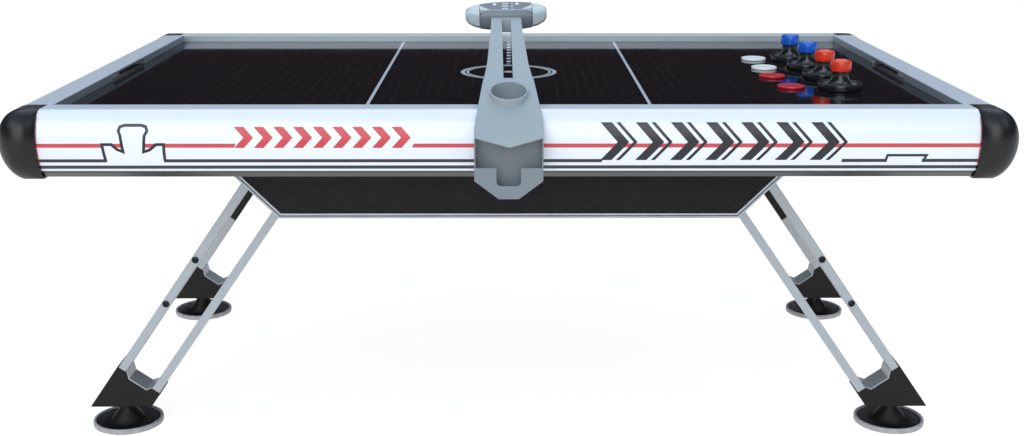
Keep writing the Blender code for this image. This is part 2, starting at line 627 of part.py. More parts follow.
def build_arm():
    bm = bmesh.new()
    rings = []
    stations = arm_stations()
    for k, (top, under) in enumerate(stations):
        drop = HOOD_DROP if k == len(stations) - 1 else 0.0
        wide_top = arm_half_width(top[0])
        wide_under = arm_half_width(under[0])
        ring = [(-wide_top, *top), (0.0, top[0], top[1] - drop), (wide_top, *top),
                (wide_under, *under), (0.0, under[0], under[1] - drop), (-wide_under, *under)]
        rings.append([bm.verts.new(point) for point in ring])
    for first, second in zip(rings, rings[1:]):
        for k in range(6):
            after = (k + 1) % 6
            bm.faces.new((first[k], first[after], second[after], second[k]))
    for ring in (rings[0], rings[-1]):
        bm.faces.new((ring[0], ring[1], ring[4], ring[5]))
        bm.faces.new((ring[1], ring[2], ring[3], ring[4]))
    bmesh.ops.transform(bm, matrix=SCORER_TURN, verts=bm.verts)
    arm = add_object("scorer_arm", mesh_from(bm, "scorer_arm"), SCORER_GREY)

    boolean(arm, cutter("cup_wall", tilted_round("cup_wall", CUP_R, RAIL_TOP + 0.0006, 0.0)), "UNION")
    boolean(arm, cutter("cup_pocket", tilted_round("cup_pocket", CUP_R - 0.0030, RAIL_TOP + 0.0035, 0.020)))

    slot = prism_mesh("arm_slot", rectangle(-0.0103, 0.0103, -0.5870, ARM_TIP[0] - 0.006), "Z", 0.834, 1.02)
    slot.transform(SCORER_TURN)
    boolean(arm, cutter("arm_slot", slot))


def build_bin():
    """Puck bin under the hood: side walls, a low front with a finger notch and a tapered floor."""
    front = -HALF_W - 0.1410
    back = -HALF_W - 0.0975
    shoulder, keel = 0.6762, 0.6377
    top = 0.7860
    outline = [(-BIN_HALF, top), (-BIN_HALF, shoulder), (-0.0210, keel), (0.0210, keel),
               (BIN_HALF, shoulder), (BIN_HALF, top)]
    body = prism("scorer_bin", outline, "Y", front, back, SCORER_GREY)
    wall = BIN_WALL
    hollow = [(-BIN_HALF + wall, top + 0.02), (-BIN_HALF + wall, shoulder + wall * 0.6),
              (-0.0200, keel + wall), (0.0200, keel + wall),
              (BIN_HALF - wall, shoulder + wall * 0.6), (BIN_HALF - wall, top + 0.02)]
    boolean(body, cutter("bin_hollow", prism_mesh("bin_hollow", hollow, "Y", front + wall, back - wall)))
    mouth = rectangle(-BIN_HALF + wall, BIN_HALF - wall, 0.7040, top + 0.02)
    boolean(body, cutter("bin_mouth", prism_mesh("bin_mouth", mouth, "Y", front - 0.01, front + wall + 0.001)))
    shed = rectangle(-BIN_HALF - 0.01, BIN_HALF + 0.01, 0.7640, top + 0.02)
    boolean(body, cutter("bin_shed", prism_mesh("bin_shed", shed, "Y", front - 0.01, back - wall)))
    radius = 0.009
    floor_z = 0.6656
    notch = [(-0.0254, 0.72)] + arc((-0.0254 + radius, floor_z + radius), radius, radius, 180, 270, 3)
    notch += arc((0.0254 - radius, floor_z + radius), radius, radius, 270, 360, 3) + [(0.0254, 0.72)]
    boolean(body, cutter("bin_notch", prism_mesh("bin_notch", notch, "Y", front - 0.01, front + wall + 0.001)))


HEAD_HALF = 0.0955
HEAD_MID = 0.0345            # middle of the head, beyond the arm's end
HEAD_SPLIT = 0.0617          # where the grey body ends and the side windows start
HEAD_TOP = 0.0115
VISOR = 0.0150               # depth of the body's raised front
SEAM_Z = -0.0040


def head_frame():
    """The head's own axes: y runs on from the arm, z is square to the head's top."""
    tip = Matrix.Translation((0.0, ARM_TIP[0], ARM_TIP[1]))
    return SCORER_TURN @ tip @ Matrix.Rotation(ARM_ANGLE, 4, "X") @ Matrix.Rotation(HEAD_ROLL, 4, "Y")


def head_station(x, part):
    """Section of the head at x: the body with its raised front, the cover behind it, or a window."""
    share = math.cos(math.pi / 2 * x / HEAD_HALF)
    half = 0.018 + 0.016 * share
    front = HEAD_MID - half
    back = HEAD_MID + half
    low = -0.038 + 0.005 * (x / HEAD_HALF) ** 2
    if part == "body":
        brow = SEAM_Z + 0.001 + (HEAD_TOP - SEAM_Z - 0.001) * (1 - min(1.0, abs(x) / 0.066) ** 6)
        rise = brow - SEAM_Z
        corners = ((front + 0.008, low), (front, low + 0.012), (front, SEAM_Z), (front + 0.002, SEAM_Z + rise * 0.55),
                   (front + 0.006, SEAM_Z + rise * 0.88), (front + 0.011, brow), (front + VISOR, brow),
                   (front + VISOR, SEAM_Z), (back, SEAM_Z), (back, low + 0.010), (back - 0.008, low))
    elif part == "cover":
        start = front + VISOR + GAP
        corners = ((start, SEAM_Z + GAP), (start, HEAD_TOP), (back - 0.010, HEAD_TOP), (back - 0.004, HEAD_TOP - 0.002),
                   (back, HEAD_TOP - 0.008), (back, SEAM_Z + GAP))
    else:
        corners = window_section(x, half, low)
    return [(x, y, z) for y, z in corners]


def window_section(x, half, low):
    """A side window's section, shrinking to a rounded end."""
    reach = (abs(x) - HEAD_SPLIT) / (HEAD_HALF - HEAD_SPLIT)
    shrink = math.sqrt(max(0.0, 1 - reach * reach))
    half *= 0.50 + 0.50 * shrink
    middle = (low + HEAD_TOP) / 2 + 0.003 * (1 - shrink)
    tall = ((HEAD_TOP - low) / 2 - 0.0002) * (0.36 + 0.64 * shrink)
    corner = 0.004 + 0.006 * shrink
    front, back = HEAD_MID - half, HEAD_MID + half
    bottom, top = middle - tall, middle + tall
    return ((front + corner, bottom), (front, bottom + corner), (front, top - corner),
            (front + corner * 0.3, top - corner * 0.4), (front + corner, top), (back - corner, top),
            (back - corner * 0.3, top - corner * 0.4), (back, top - corner), (back, bottom + corner),
            (back - corner, bottom))


def build_head_part(name, part, stations, mat):
    bm = bmesh.new()
    rings = [[bm.verts.new(point) for point in head_station(x, part)] for x in stations]
    for left, right in zip(rings, rings[1:]):
        for k in range(len(left)):
            after = (k + 1) % len(left)
            bm.faces.new((left[k], left[after], right[after], right[k]))
    bm.faces.new(rings[0])
    bm.faces.new(list(reversed(rings[-1])))
    mesh = mesh_from(bm, name)
    mesh.transform(head_frame())
    return add_object(name, mesh, mat)


BUTTON_X = 0.0265
BUTTON_Y = 0.0460


def build_head():
    spread = [HEAD_SPLIT * (k / 4 - 1) for k in range(9)]
    build_head_part("scorer_head", "body", spread, SCORER_GREY)
    cover = build_head_part("scorer_cover", "cover", spread, SCORER_DARK)
    start = HEAD_SPLIT + GAP
    ends = [start + (HEAD_HALF - start) * math.sin(math.pi / 2 * k / 6) for k in range(7)]
    build_head_part("scorer_window_right", "window", ends, WINDOW_PALE)
    build_head_part("scorer_window_left", "window", [-x for x in reversed(ends)], WINDOW_PALE)
    for name, x in (("left", -BUTTON_X), ("right", BUTTON_X)):
        seat = prism_mesh("button_seat", circle(0.0050, 16, (x, BUTTON_Y)), "Z", -0.0015, 0.0200)
        seat.transform(head_frame())
        boolean(cover, cutter("button_seat_" + name, seat))
        button = prism_mesh("scorer_button_" + name, circle(0.0045, 16), "Z", -0.0030, 0.0030)
        button.transform(head_frame().to_3x3().to_4x4())
        centre = head_frame() @ Vector((x, BUTTON_Y, HEAD_TOP - 0.0015))
        add_object("scorer_button_" + name, button, WINDOW_PALE, centre)


# ---- mallets and pucks --------------------------------------------------------------------------
def mallet_mesh():
    profile = [(0.0, 0.0), (0.0510, 0.0), (0.0520, 0.002), (0.0520, 0.0145), (0.0500, 0.0165), (0.0465, 0.0160),
               (0.0430, 0.0110), (0.0330, 0.0100), (0.0260, 0.0150), (0.0208, 0.0260), (0.0200, 0.0415),
               (0.0240, 0.0440), (0.0250, 0.0480), (0.0248, 0.0610), (0.0225, 0.0672), (0.0180, 0.0700), (0.0, 0.0700)]
    return turned_mesh("mallet", profile, 20)


def puck_mesh():
    edge = 0.0010
    profile = [(0.0, 0.0), (PUCK_R - edge, 0.0), (PUCK_R, edge), (PUCK_R, PUCK_H - edge),
               (PUCK_R - edge, PUCK_H), (0.0, PUCK_H)]
    return turned_mesh("puck", profile, 24)


def build_game_pieces():
    mallet = mallet_mesh()
    floor = FIELD_TOP + GAP
    for k in range(4):
        add_object("mallet_%d" % (k + 1), mallet, MALLET_BLACK, (*MALLETS_AT[k], floor))
        mat = PUCK_RED if k < 2 else PUCK_WHITE
        add_object("puck_%d" % (k + 1), puck_mesh(), mat, (*PUCKS_AT[k], floor))


build_field()
build_walls()
build_rails()
build_caps()
build_goal_boxes()
build_cabinet()
build_power()
build_leg_mounts()
build_legs()
build_blower()
build_arm()
build_bin()
build_head()
build_game_pieces()
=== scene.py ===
"""The looks of the air hockey table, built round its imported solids. Metres, +X right, scorer towards -Y."""
import math

import bmesh
import bpy
from mathutils import Matrix, Vector


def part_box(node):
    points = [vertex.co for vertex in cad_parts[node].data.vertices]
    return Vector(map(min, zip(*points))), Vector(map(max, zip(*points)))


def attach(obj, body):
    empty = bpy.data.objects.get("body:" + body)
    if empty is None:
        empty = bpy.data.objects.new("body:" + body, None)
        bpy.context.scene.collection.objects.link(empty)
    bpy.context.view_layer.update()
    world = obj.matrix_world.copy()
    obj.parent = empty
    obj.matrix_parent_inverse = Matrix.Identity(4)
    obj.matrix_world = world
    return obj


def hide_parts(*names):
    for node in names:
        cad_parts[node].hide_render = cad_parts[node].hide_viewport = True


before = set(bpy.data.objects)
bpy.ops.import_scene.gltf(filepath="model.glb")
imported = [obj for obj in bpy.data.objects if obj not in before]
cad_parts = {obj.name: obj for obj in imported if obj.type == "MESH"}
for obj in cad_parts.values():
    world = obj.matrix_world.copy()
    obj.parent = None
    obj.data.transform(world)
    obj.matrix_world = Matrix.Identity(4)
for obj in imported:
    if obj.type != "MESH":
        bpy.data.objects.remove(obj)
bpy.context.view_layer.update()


# ---- Studio --------------------------------------------------------------------------------------
# A plain pale floor under even, soft light: a broad key from the scorer's side, a weaker one from
# behind, and a dark band a little above the horizon so that the polished field stays dark.
def linear(colour):
    """Turns an sRGB hex colour into the linear values that a shader takes."""
    parts = [int(colour[k:k + 2], 16) / 255 for k in (1, 3, 5)]
    return tuple(c / 12.92 if c <= 0.04045 else ((c + 0.055) / 1.055) ** 2.4 for c in parts) + (1.0,)


def add_node(tree, kind, settings=(), links=()):
    """Adds a node; a setting is one of its properties or inputs, and a link feeds an input."""
    made = tree.nodes.new(kind)
    for key, value in dict(settings).items():
        if isinstance(key, str) and hasattr(made, key):
            setattr(made, key, value)
        else:
            made.inputs[key].default_value = value
    for key, (source, output) in dict(links).items():
        tree.links.new(source.outputs[output], made.inputs[key])
    return made


def new_material(name, colour, roughness, metallic=0.0, ior=None):
    """A material with its even values on the shader's own sockets."""
    made = bpy.data.materials.new(name)
    made.use_nodes = True
    shader = made.node_tree.nodes["Principled BSDF"]
    shader.inputs["Base Color"].default_value = linear(colour)
    shader.inputs["Roughness"].default_value = roughness
    shader.inputs["Metallic"].default_value = metallic
    if ior:
        shader.inputs["IOR"].default_value = ior
    return made, made.node_tree, shader


def mottle(tree, shader, colours, size, roughness, relief, stretch=(1, 1, 1)):
    """Drifts colour and roughness between two values and raises a fine relief, by a real grain size."""
    place = add_node(tree, "ShaderNodeTexCoord")
    frame_of = add_node(tree, "ShaderNodeMapping", {"Scale": stretch}, {"Vector": (place, "Object")})
    broad = add_node(tree, "ShaderNodeTexNoise", {"Scale": 0.12 / size, "Detail": 3.0},
                     {"Vector": (frame_of, 0)})
    fine = add_node(tree, "ShaderNodeTexNoise", {"Scale": 1.0 / size, "Detail": 2.0},
                    {"Vector": (frame_of, 0)})
    tint = add_node(tree, "ShaderNodeValToRGB", links={"Fac": (broad, 0)})
    tint.color_ramp.elements[0].position = 0.35
    tint.color_ramp.elements[1].position = 0.65
    tint.color_ramp.elements[0].color = linear(colours[0])
    tint.color_ramp.elements[1].color = linear(colours[1])
    tree.links.new(tint.outputs[0], shader.inputs["Base Color"])
    gloss = add_node(tree, "ShaderNodeMapRange", {"To Min": roughness[0], "To Max": roughness[1]},
                     {"Value": (fine, 0)})
    tree.links.new(gloss.outputs[0], shader.inputs["Roughness"])
    bump = add_node(tree, "ShaderNodeBump", {"Strength": 0.35, "Distance": relief}, {"Height": (fine, 0)})
    tree.links.new(bump.outputs[0], shader.inputs["Normal"])
    return tint


field_low, field_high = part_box("playfield")
TABLE_Y = (field_low.y + field_high.y) / 2
WALL_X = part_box("inner_rail_right")[0].x
WALL_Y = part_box("inner_rail_rear")[0].y - TABLE_Y
RAIL_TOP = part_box("apron_front")[1].z


def build_studio():
    floor_mesh = bpy.data.meshes.new("studio_floor")
    reach = 60.0
    corners = [(-reach, -reach, 0), (reach, -reach, 0), (reach, reach, 0), (-reach, reach, 0)]
    floor_mesh.from_pydata(corners, [], [(0, 1, 2, 3)])
    paper, tree, shader = new_material("matt_paper_floor", "#7f7f7f", 0.9, ior=1.2)
    mottle(tree, shader, ("#7e7e7e", "#808080"), 0.05, (0.88, 0.92), 0.0001)
    shader.inputs["Emission Color"].default_value = (1.0, 1.0, 1.0, 1.0)
    shader.inputs["Emission Strength"].default_value = 0.90
    floor_mesh.materials.append(paper)
    floor = bpy.data.objects.new("studio_floor", floor_mesh)
    bpy.context.collection.objects.link(floor)

    for name, strength, spread, tilt, turn in (("key", 1.66, 50, 64, -8), ("back", 0.50, 50, 40, 172),
                                               ("left", 0.35, 26, 48, -52), ("right", 0.22, 26, 48, 58)):
        lamp = bpy.data.lights.new(name, "SUN")
        lamp.energy = strength
        lamp.angle = math.radians(spread)
        lamp.color = (0.97, 0.985, 1.0)
        light = bpy.data.objects.new(name, lamp)
        light.rotation_euler = (math.radians(tilt), 0, math.radians(turn))
        bpy.context.collection.objects.link(light)

    sky = bpy.data.worlds.new("room")
    bpy.context.scene.world = sky
    sky.use_nodes = True
    tree = sky.node_tree
    place = add_node(tree, "ShaderNodeTexCoord")
    split = add_node(tree, "ShaderNodeSeparateXYZ", links={0: (place, "Generated")})
    ramp = add_node(tree, "ShaderNodeValToRGB", links={"Fac": (split, "Z")})
    pale, dark, zenith = (0.90, 0.90, 0.90, 1), (0.020, 0.017, 0.018, 1), (0.56, 0.75, 0.96, 1)
    ramp.color_ramp.elements[0].position = 0.045
    ramp.color_ramp.elements[0].color = pale
    ramp.color_ramp.elements[1].position = 0.060
    ramp.color_ramp.elements[1].color = dark
    ramp.color_ramp.elements.new(0.36).color = dark
    ramp.color_ramp.elements.new(0.80).color = zenith
    tree.links.new(ramp.outputs[0], tree.nodes["Background"].inputs["Color"])
    tree.nodes["Background"].inputs["Strength"].default_value = 1.0

    lens = bpy.data.cameras.new("camera")
    lens.sensor_width = 36.0
    lens.lens = 47.19
    camera = bpy.data.objects.new("camera", lens)
    camera.location = (-0.0005, TABLE_Y - 3.4522, 1.3132)
    camera.rotation_euler = (math.radians(75.213), 0.0, math.radians(-0.15))
    bpy.context.collection.objects.link(camera)
    bpy.context.scene.camera = camera
    bpy.context.scene.view_settings.view_transform = "Standard"


build_studio()


# ---- Playing field -------------------------------------------------------------------------------
# A fibreboard faced with gloss black laminate, drilled every inch with fine air holes, with its
# lines printed in white under the clear face.
def new_piece(name, mesh, material, body, nodes=(), smooth=35):
    """Puts a mesh in the scene as a piece that rides on a body and stands for its solids."""
    if smooth:
        mesh.shade_smooth()
        mesh.set_sharp_from_angle(angle=math.radians(smooth))
    mesh.materials.clear()
    mesh.materials.append(material)
    made = bpy.data.objects.new(name, mesh)
    bpy.context.collection.objects.link(made)
    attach(made, body)
    if nodes:
        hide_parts(*nodes)
    return made


def mesh_of(bm, name):
    bmesh.ops.recalc_face_normals(bm, faces=bm.faces)
    mesh = bpy.data.meshes.new(name)
    bm.to_mesh(mesh)
    bm.free()
    return mesh


def finished(name, node, material, body, edge=0.0008, segments=2, smooth=35):
    """The solid of a node with its corners broken, as a moulded, folded or sawn part has them."""
    bm = bmesh.new()
    bm.from_mesh(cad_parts[node].data)
    bmesh.ops.remove_doubles(bm, verts=bm.verts, dist=0.00002)
    bmesh.ops.dissolve_limit(bm, angle_limit=math.radians(0.8), verts=bm.verts, edges=bm.edges)
    if edge:
        corners = [e for e in bm.edges if e.is_manifold and e.calc_face_angle(0.0) > math.radians(38)]
        bmesh.ops.bevel(bm, geom=corners, offset=edge, segments=segments, affect="EDGES", clamp_overlap=True,
                        profile=0.5)
    bmesh.ops.triangulate(bm, faces=[f for f in bm.faces if len(f.verts) > 4])
    made = new_piece(name, mesh_of(bm, name), material, body, (node,), smooth)
    made.modifiers.new("even_faces", "WEIGHTED_NORMAL").keep_sharp = True
    return made


def printed_field():
    material, tree, shader = new_material("gloss_laminate_field", "#0c0b10", 0.06, ior=1.49)
    place = add_node(tree, "ShaderNodeTexCoord")
    split = add_node(tree, "ShaderNodeSeparateXYZ", links={0: (place, "Object")})

    def op(kind, a, b=0.0, c=0.0):
        """One step of the drawing's arithmetic; a value or an earlier step on each side."""
        given = {}
        linked = {}
        for key, value in ((0, a), (1, b), (2, c)):
            if isinstance(value, tuple):
                linked[key] = value
            elif isinstance(value, bpy.types.Node):
                linked[key] = (value, 0)
            else:
                given[key] = value
        made = add_node(tree, "ShaderNodeMath", {"operation": kind}, linked)
        for key, value in given.items():
            made.inputs[key].default_value = value
        return made

    across = (split, "X")
    along = op("SUBTRACT", (split, "Y"), TABLE_Y)
    far = op("ABSOLUTE", across)
    blue_line = op("COMPARE", far, 0.316, 0.0036)
    radius = op("SQRT", op("ADD", op("MULTIPLY", across, across), op("MULTIPLY", along, along)))
    ring = op("COMPARE", radius, 0.1183, 0.0050)
    inner_ring = op("COMPARE", radius, 0.1062, 0.0030)
    dot = op("LESS_THAN", radius, 0.0130)
    dash_row = op("LESS_THAN", op("FRACT", op("DIVIDE", along, 0.058)), 0.5)
    dash_side = op("LESS_THAN", far, 0.0055)
    dash = op("MULTIPLY", op("MULTIPLY", dash_row, dash_side), op("GREATER_THAN", radius, 0.135))
    lines = op("MAXIMUM", op("MAXIMUM", blue_line, ring), op("MAXIMUM", inner_ring, op("MAXIMUM", dot, dash)))

    pitch = 0.0254
    hole_x = op("SUBTRACT", op("FRACT", op("DIVIDE", across, pitch)), 0.5)
    hole_y = op("SUBTRACT", op("FRACT", op("DIVIDE", along, pitch)), 0.5)
    hole_r = op("SQRT", op("ADD", op("MULTIPLY", hole_x, hole_x), op("MULTIPLY", hole_y, hole_y)))
    hole = op("LESS_THAN", hole_r, 0.046)

    haze = add_node(tree, "ShaderNodeTexNoise", {"Scale": 9.0, "Detail": 4.0}, {"Vector": (place, "Object")})
    black = add_node(tree, "ShaderNodeValToRGB", links={"Fac": (haze, 0)})
    black.color_ramp.elements[0].color = linear("#0b0a0f")
    black.color_ramp.elements[1].color = linear("#17141a")
    inked = add_node(tree, "ShaderNodeMix", {"data_type": "RGBA", 7: linear("#dfe3ea")},
                     {0: (lines, 0), 6: (black, 0)})
    drilled = add_node(tree, "ShaderNodeMix", {"data_type": "RGBA", 7: linear("#4a4850")},
                       {0: (hole, 0), 6: (inked, 2)})
    tree.links.new(drilled.outputs[2], shader.inputs["Base Color"])
    wipe = add_node(tree, "ShaderNodeMapRange", {"To Min": 0.045, "To Max": 0.10}, {"Value": (haze, 0)})
    tree.links.new(wipe.outputs[0], shader.inputs["Roughness"])
    bump = add_node(tree, "ShaderNodeBump", {"Strength": 0.8, "Distance": 0.001, "invert": True},
                    {"Height": (hole, 0)})
    tree.links.new(bump.outputs[0], shader.inputs["Normal"])
    return material


finished("field_board", "playfield", printed_field(), "table", edge=0.0004)


# ---- Air chamber and goal pockets ----------------------------------------------------------------
# Under the field is a tray of raw fibreboard that holds the blown air, and behind each goal a
# pressed black pocket catches the puck.
def fibreboard():
    material, tree, shader = new_material("raw_fibreboard", "#8a6c4e", 0.85)
    mottle(tree, shader, ("#7d6146", "#957657"), 0.004, (0.78, 0.92), 0.0003)
    return material


def pressed_plastic():
    material, tree, shader = new_material("moulded_black_abs", "#161618", 0.45, ior=1.46)
    mottle(tree, shader, ("#131315", "#1a1a1d"), 0.0012, (0.38, 0.52), 0.0001)
    return material


finished("air_tray", "air_chamber", fibreboard(), "table", edge=0.0005)
POCKET_BLACK = pressed_plastic()
for side in ("left", "right"):
    finished("goal_pocket_" + side, "goal_box_" + side, POCKET_BLACK, "table", edge=0.0006)


# ---- Playing walls -------------------------------------------------------------------------------
# Extruded aluminium strips, satin anodised, that the puck rebounds from; the end ones have the goal
# slot milled in their lower edge. The die and the brushing leave fine lines along each strip.
def anodised(name, light, dark, stretch, metallic=1.0):
    material, tree, shader = new_material(name, light, 0.34, metallic=metallic)
    mottle(tree, shader, (dark, light), 0.0016, (0.26, 0.44), 0.00008, stretch)
    return material


for name in ("front", "rear", "left", "right"):
    run = (0.03, 1, 1) if name in ("front", "rear") else (1, 0.03, 1)
    strip = anodised("anodised_wall_" + name, "#a9b4bb", "#a2adb4", run, 0.30)
    finished("playing_wall_" + name, "inner_rail_" + name, strip, "table", edge=0.0005)


# ---- Rails ---------------------------------------------------------------------------------------
# Four hollow board rails wrapped in white laminate, flat on top and rolled over outside. The red and
# black lines are printed on the wrap, and run along the lower half of every face.
RAIL_FLAT = 0.052
RAIL_BULGE = 0.096
BULGE_DROP = 0.066
RAIL_DEPTH = 0.146
LOWER_A = 0.058
LOWER_B = 0.082


def arc(centre, radius_p, radius_q, start, end, count):
    turns = [math.radians(start + (end - start) * k / count) for k in range(count + 1)]
    return [(centre[0] + radius_p * math.cos(t), centre[1] + radius_q * math.sin(t)) for t in turns]


def rail_face(steps, grow=0.0):
    """The rolled face as (distance out from the playing wall, height from the rail top)."""
    upper = arc((RAIL_FLAT, -BULGE_DROP), RAIL_BULGE - RAIL_FLAT + grow, BULGE_DROP, 90, 0, steps)
    lower = arc((RAIL_BULGE - LOWER_A, -BULGE_DROP), LOWER_A + grow, LOWER_B + grow, 0, -65, steps)
    return upper + lower[1:]


def rail_section():
    board = 0.012
    lip = 0.0012
    ledge = 0.0105
    deep = 0.014
    inner_upper = arc((RAIL_FLAT, -BULGE_DROP), RAIL_BULGE - RAIL_FLAT - board, BULGE_DROP - board, 0, 90, 10)
    inner_lower = arc((RAIL_BULGE - LOWER_A, -BULGE_DROP), LOWER_A - board, LOWER_B - board, -65, 0, 10)
    outer = [(0.0, -0.0008), (0.0008, 0.0)] + rail_face(20) + [(0.056, -RAIL_DEPTH), (deep, -RAIL_DEPTH)]
    inner = [(deep, -RAIL_DEPTH + board), (0.050, -RAIL_DEPTH + board)] + inner_lower + inner_upper[1:]
    return outer + inner + [(ledge, -board), (ledge, -lip), (0.0, -lip)]


def wrapped_laminate(name):
    """Satin white laminate with the printed lines set out by their height above the floor."""
    material, tree, shader = new_material(name, "#dfe5ee", 0.30, ior=1.5)
    shader.inputs["Coat Weight"].default_value = 0.35
    shader.inputs["Coat Roughness"].default_value = 0.12
    place = add_node(tree, "ShaderNodeTexCoord")
    split = add_node(tree, "ShaderNodeSeparateXYZ", links={0: (place, "Object")})
    low, high = 0.660, 0.820
    height = add_node(tree, "ShaderNodeMapRange", {"From Min": low, "From Max": high}, {"Value": (split, "Z")})
    ramp = add_node(tree, "ShaderNodeValToRGB", links={"Fac": (height, 0)})
    ramp.color_ramp.interpolation = "CONSTANT"
    white, ink, red = "#dfe5ee", "#101119", "#c53a41"
    stops = ((low, ink), (0.6835, white), (0.6891, ink), (0.6969, white), (0.7047, ink), (0.7125, white),
             (0.7376, red), (0.7468, white))
    for k, (level, colour) in enumerate(stops):
        part = (level - low) / (high - low)
        stop = ramp.color_ramp.elements[k] if k < 2 else ramp.color_ramp.elements.new(part)
        stop.position = part
        stop.color = linear(colour)
    cloud = add_node(tree, "ShaderNodeTexNoise", {"Scale": 5.0, "Detail": 3.0}, {"Vector": (place, "Object")})
    shade = add_node(tree, "ShaderNodeMapRange", {"To Min": 0.965, "To Max": 1.0}, {"Value": (cloud, 0)})
    tone = add_node(tree, "ShaderNodeMix", {"data_type": "RGBA", "blend_type": "MULTIPLY", 0: 1.0},
                    {6: (ramp, 0), 7: (shade, 0)})
    tree.links.new(tone.outputs[2], shader.inputs["Base Color"])
    peel = add_node(tree, "ShaderNodeTexNoise", {"Scale": 420.0, "Detail": 1.0}, {"Vector": (place, "Object")})
    bump = add_node(tree, "ShaderNodeBump", {"Strength": 0.25, "Distance": 0.00008}, {"Height": (peel, 0)})
    tree.links.new(bump.outputs[0], shader.inputs["Normal"])
    satin = add_node(tree, "ShaderNodeMapRange", {"To Min": 0.24, "To Max": 0.36}, {"Value": (peel, 0)})
    tree.links.new(satin.outputs[0], shader.inputs["Roughness"])
    return material


LAMINATE = wrapped_laminate("wrapped_white_laminate")


def extrude_outline(points, direction):
    bm = bmesh.new()
    face = bm.faces.new([bm.verts.new(point) for point in points])
    made = bmesh.ops.extrude_face_region(bm, geom=[face])
    moved = [item for item in made["geom"] if isinstance(item, bmesh.types.BMVert)]
    bmesh.ops.translate(bm, verts=moved, vec=Vector(direction))
    bmesh.ops.triangulate(bm, faces=[f for f in bm.faces if len(f.verts) > 4])
    return bm


def cut_away(mesh, tool_mesh):
    """The mesh less the tool, as a plain mesh; both helpers are taken away again."""
    kept = bpy.data.objects.new("kept", mesh)
    tool = bpy.data.objects.new("tool", tool_mesh)
    bpy.context.collection.objects.link(kept)
    bpy.context.collection.objects.link(tool)
    modifier = kept.modifiers.new("cut", "BOOLEAN")
    modifier.operation = "DIFFERENCE"
    modifier.solver = "EXACT"
    modifier.object = tool
    bpy.context.view_layer.update()
    result = bpy.data.meshes.new_from_object(kept.evaluated_get(bpy.context.evaluated_depsgraph_get()))
    bpy.data.objects.remove(kept)
    bpy.data.objects.remove(tool)
    return result


def build_long_rails():
    for name, side in (("front", -1), ("rear", 1)):
        low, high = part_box("apron_" + name)
        points = [(low.x, TABLE_Y + side * (WALL_Y + u), RAIL_TOP + w) for u, w in rail_section()]
        mesh = mesh_of(extrude_outline(points, (high.x - low.x, 0, 0)), "rail_" + name)
        new_piece("rail_" + name, mesh, LAMINATE, "table", ("apron_" + name,), 25)


def window_outline(half, low, high, radius, count=6):
    points = []
    for p, q, start in ((half - radius, high - radius, 0), (-half + radius, high - radius, 90),
                        (-half + radius, low + radius, 180), (half - radius, low + radius, 270)):
        points += arc((p, q), radius, radius, start, start + 90, count)
    return points


def build_end_rails():
    for name, side in (("left", -1), ("right", 1)):
        low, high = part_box("apron_" + name)
        points = [(side * (WALL_X + u), low.y, RAIL_TOP + w) for u, w in rail_section()]
        mesh = mesh_of(extrude_outline(points, (0, high.y - low.y, 0)), "rail_" + name)
        window = window_outline(0.115, -0.122, -0.052, 0.014)
        x0 = side * (WALL_X + 0.045)
        tool = [(x0, TABLE_Y + y, RAIL_TOP + w) for y, w in window]
        cutter = mesh_of(extrude_outline(tool, (side * 0.085, 0, 0)), "tool")
        mesh = cut_away(mesh, cutter)
        new_piece("rail_" + name, mesh, LAMINATE, "table", ("apron_" + name,), 25)


build_long_rails()
build_end_rails()


# ---- Printed figures on the front rail -----------------------------------------------------------
# Screen-printed shapes in the wrap of the front rail: a stepped outline of a striker, one of a puck,
# and two rows of plain chevrons. They are ink films, a hair proud of the laminate.
def face_reach(z):
    """How far out the rolled face stands at a height."""
    drop = z - RAIL_TOP
    if drop > -BULGE_DROP:
        share = (drop + BULGE_DROP) / BULGE_DROP
        return RAIL_FLAT + (RAIL_BULGE - RAIL_FLAT) * math.sqrt(max(0.0, 1 - share * share))
    share = (drop + BULGE_DROP) / LOWER_B
    return RAIL_BULGE - LOWER_A + LOWER_A * math.sqrt(max(0.0, 1 - share * share))


def ink(name, colour):
    material, tree, shader = new_material(name, colour, 0.3, ior=1.5)
    mottle(tree, shader, (colour, colour), 0.002, (0.26, 0.34), 0.00002)
    return material


RED_INK = ink("screen_ink_red", "#c43c45")
BLACK_INK = ink("screen_ink_black", "#1a1b24")
WHITE_INK = ink("screen_ink_white", "#dfe5ee")


def wrap_on_rail(bm, lift):
    """Slices flat figures finely by height and lays them on the rolled face."""
    level = 0.690
    while level < RAIL_TOP:
        geometry = bm.verts[:] + bm.edges[:] + bm.faces[:]
        bmesh.ops.bisect_plane(bm, geom=geometry, plane_co=(0, 0, level), plane_no=(0, 0, 1), dist=0.00001)
        level += 0.003
    bmesh.ops.triangulate(bm, faces=bm.faces[:])
    for vert in bm.verts:
        vert.co.y = TABLE_Y - WALL_Y - face_reach(vert.co.z) - lift


def print_figure(name, faces, material, lift):
    bm = bmesh.new()
    for points in faces:
        bm.faces.new([bm.verts.new((x, 0.0, z)) for x, z in points])
    wrap_on_rail(bm, lift)
    mesh = bpy.data.meshes.new(name)
    bm.to_mesh(mesh)
    bm.free()
    return new_piece(name, mesh, material, "table", smooth=60)


